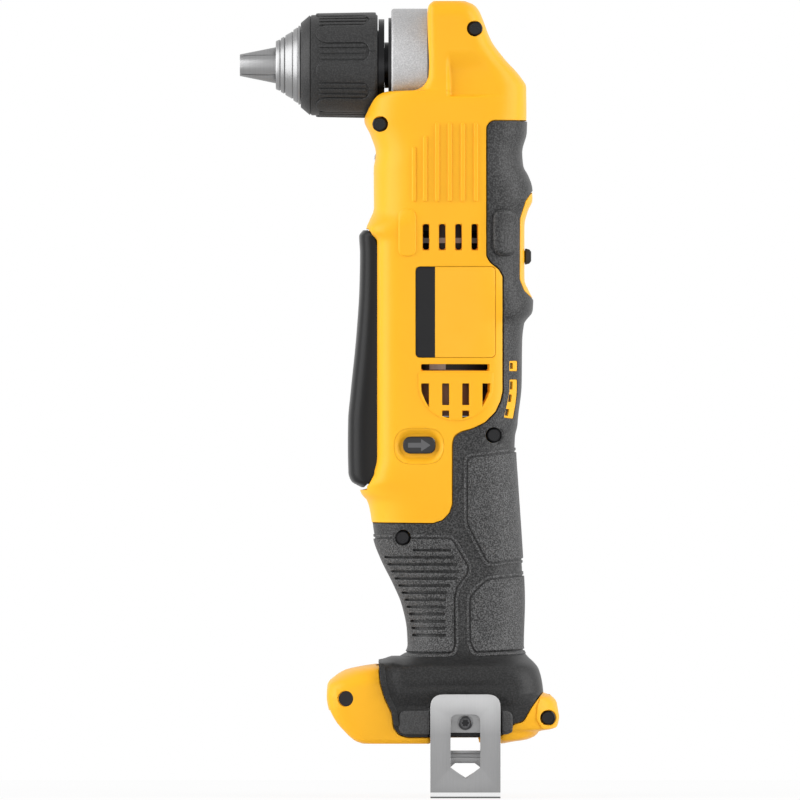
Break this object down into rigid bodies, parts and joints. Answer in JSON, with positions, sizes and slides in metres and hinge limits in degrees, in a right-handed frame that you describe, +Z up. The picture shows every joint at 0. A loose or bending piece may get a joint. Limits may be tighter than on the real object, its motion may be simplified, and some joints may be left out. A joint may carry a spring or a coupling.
{
  "type": "right angle drill",
  "caption": "Cordless right angle drill without battery: keyless chuck square to a long rubber-backed body, paddle trigger, slide-on battery foot and belt hook.",
  "frame": {"origin": "middle of the hand grip, on the motor axis and the split plane of the housing", "axes": "+Z up the motor axis towards the head, -X along the spindle the way the chuck points, +Y to the tool's right"},
  "size_m": [0.1092, 0.0766, 0.2736],
  "materials": {
    "shell": "fine moulded grain",
    "rubber": "mottled grip texture",
    "dark_plastic": "smooth moulding",
    "label": "bare printed film",
    "steel": "bright",
    "gear_steel": "hardened, oiled",
    "black_steel": "blackened",
    "cast": "sand-blasted casting",
    "brass": "bare",
    "copper": "bare copper",
    "bronze": "sintered",
    "magnet": "ferrite",
    "phenolic": "brown board",
    "carbon": "pressed carbon",
    "plunger_red": "smooth moulding",
    "lead": "soft insulation",
    "lens": "clear"
  },
  "bodies": {
    "frame": {"housing_left": "shell", "housing_right": "shell", "grip_left": "rubber", "grip_right": "rubber", "label_plates": "label", "housing_screws": "black_steel", "pivot_pin": "steel", "led_lamp": "lens", "terminal_block": "dark_plastic", "contact_blades": "brass", "hook_inserts": "brass", "belt_hook": "steel", "hook_screw": "black_steel", "gear_case": "cast", "head_collar": "cast", "dust_seal": "rubber", "front_bearing": "steel", "rear_bearing": "steel", "pinion_bearing": "steel", "gearbox_case": "dark_plastic", "fixed_ring_gear": "gear_steel", "motor_plate": "steel", "motor_can": "steel", "motor_magnets": "magnet", "brush_holder": "phenolic", "carbon_brushes": "carbon", "motor_bushes": "bronze", "trigger_switch": "dark_plastic", "leads": "lead"},
    "rotor": {"armature_core": "gear_steel", "armature_windings": "copper", "motor_shaft": "steel", "commutator": "copper", "cooling_fan": "dark_plastic", "motor_pinion": "gear_steel"},
    "first_carrier": {"stage1_carrier": "gear_steel"},
    "planet_1a": {"planet_1a": "gear_steel"},
    "planet_1b": {"planet_1b": "gear_steel"},
    "planet_1c": {"planet_1c": "gear_steel"},
    "output": {"stage2_carrier": "gear_steel", "bevel_pinion": "gear_steel"},
    "planet_2a": {"planet_2a": "gear_steel"},
    "planet_2b": {"planet_2b": "gear_steel"},
    "planet_2c": {"planet_2c": "gear_steel"},
    "spindle": {"spindle": "steel", "bevel_gear": "gear_steel", "chuck_body": "black_steel", "chuck_nose": "steel", "chuck_screw": "black_steel"},
    "sleeve": {"chuck_sleeve": "dark_plastic", "chuck_nut": "gear_steel"},
    "jaw_1": {"jaw_1": "gear_steel"},
    "jaw_2": {"jaw_2": "gear_steel"},
    "jaw_3": {"jaw_3": "gear_steel"},
    "selector": {"speed_selector": "dark_plastic", "shift_link": "steel", "sliding_ring_gear": "gear_steel"},
    "trigger": {"trigger_paddle": "dark_plastic"},
    "plunger": {"switch_plunger": "plunger_red"},
    "button": {"reversing_button": "dark_plastic"}
  },
  "joints": [
    {"name": "motor_spin", "type": "hinge", "parent": "frame", "child": "rotor", "pos_m": [0, 0, 0.095], "axis": [0, 0, 1], "continuous": true},
    {"name": "first_carrier_spin", "type": "hinge", "parent": "frame", "child": "first_carrier", "pos_m": [0, 0, 0.136], "axis": [0, 0, 1], "continuous": true},
    {"name": "output_spin", "type": "hinge", "parent": "frame", "child": "output", "pos_m": [0, 0, 0.15], "axis": [0, 0, 1], "continuous": true},
    {"name": "spindle_spin", "type": "hinge", "parent": "frame", "child": "spindle", "pos_m": [0, 0, 0.181], "axis": [-1, 0, 0], "continuous": true},
    {"name": "planet_1a_spin", "type": "hinge", "parent": "first_carrier", "child": "planet_1a", "pos_m": [0.00918, 0, 0.132], "axis": [0, 0, 1], "continuous": true},
    {"name": "planet_1b_spin", "type": "hinge", "parent": "first_carrier", "child": "planet_1b", "pos_m": [-0.00459, 0.00795, 0.132], "axis": [0, 0, 1], "continuous": true},
    {"name": "planet_1c_spin", "type": "hinge", "parent": "first_carrier", "child": "planet_1c", "pos_m": [-0.00459, -0.00795, 0.132], "axis": [0, 0, 1], "continuous": true},
    {"name": "planet_2a_spin", "type": "hinge", "parent": "output", "child": "planet_2a", "pos_m": [0.0102, 0, 0.141], "axis": [0, 0, 1], "continuous": true},
    {"name": "planet_2b_spin", "type": "hinge", "parent": "output", "child": "planet_2b", "pos_m": [-0.0051, 0.00883, 0.141], "axis": [0, 0, 1], "continuous": true},
    {"name": "planet_2c_spin", "type": "hinge", "parent": "output", "child": "planet_2c", "pos_m": [-0.0051, -0.00883, 0.141], "axis": [0, 0, 1], "continuous": true},
    {"name": "sleeve_turn", "type": "hinge", "parent": "spindle", "child": "sleeve", "pos_m": [-0.03, 0, 0.181], "axis": [-1, 0, 0], "range_deg": [0, 3600]},
    {"name": "jaw_1_slide", "type": "slide", "parent": "spindle", "child": "jaw_1", "axis": [0.9736, -0.2284, 0], "range_m": [0, 0.018]},
    {"name": "jaw_2_slide", "type": "slide", "parent": "spindle", "child": "jaw_2", "axis": [0.9736, 0.1142, 0.1978], "range_m": [0, 0.018]},
    {"name": "jaw_3_slide", "type": "slide", "parent": "spindle", "child": "jaw_3", "axis": [0.9736, 0.1142, -0.1978], "range_m": [0, 0.018]},
    {"name": "selector_slide", "type": "slide", "parent": "frame", "child": "selector", "axis": [0, 0, 1], "range_m": [0, 0.005]},
    {"name": "trigger_pull", "type": "hinge", "parent": "frame", "child": "trigger", "pos_m": [-0.0204, 0, 0.1185], "axis": [0, -1, 0], "range_deg": [0, 3.5], "stiffness_Nm_per_rad": 2, "springref_deg": -6.88},
    {"name": "plunger_slide", "type": "slide", "parent": "frame", "child": "plunger", "axis": [1, 0, 0], "range_m": [0, 0.0048]},
    {"name": "button_slide", "type": "slide", "parent": "frame", "child": "button", "axis": [0, 1, 0], "range_m": [-0.003, 0.003]}
  ],
  "couplings": [
    {"joint": "first_carrier_spin", "follows": "motor_spin", "ratio": 0.22222},
    {"joint": "output_spin", "follows": "motor_spin", "ratio": 0.066667},
    {"joint": "spindle_spin", "follows": "motor_spin", "ratio": 0.033333},
    {"joint": "planet_1a_spin", "follows": "motor_spin", "ratio": -0.62222},
    {"joint": "planet_1b_spin", "follows": "motor_spin", "ratio": -0.62222},
    {"joint": "planet_1c_spin", "follows": "motor_spin", "ratio": -0.62222},
    {"joint": "planet_2a_spin", "follows": "motor_spin", "ratio": -0.23333},
    {"joint": "planet_2b_spin", "follows": "motor_spin", "ratio": -0.23333},
    {"joint": "planet_2c_spin", "follows": "motor_spin", "ratio": -0.23333},
    {"joint": "jaw_1_slide", "follows": "sleeve_turn", "m_per_rad": 0.00028648},
    {"joint": "jaw_2_slide", "follows": "sleeve_turn", "m_per_rad": 0.00028648},
    {"joint": "jaw_3_slide", "follows": "sleeve_turn", "m_per_rad": 0.00028648},
    {"joint": "plunger_slide", "follows": "trigger_pull", "m_per_rad": 0.0785}
  ]
}
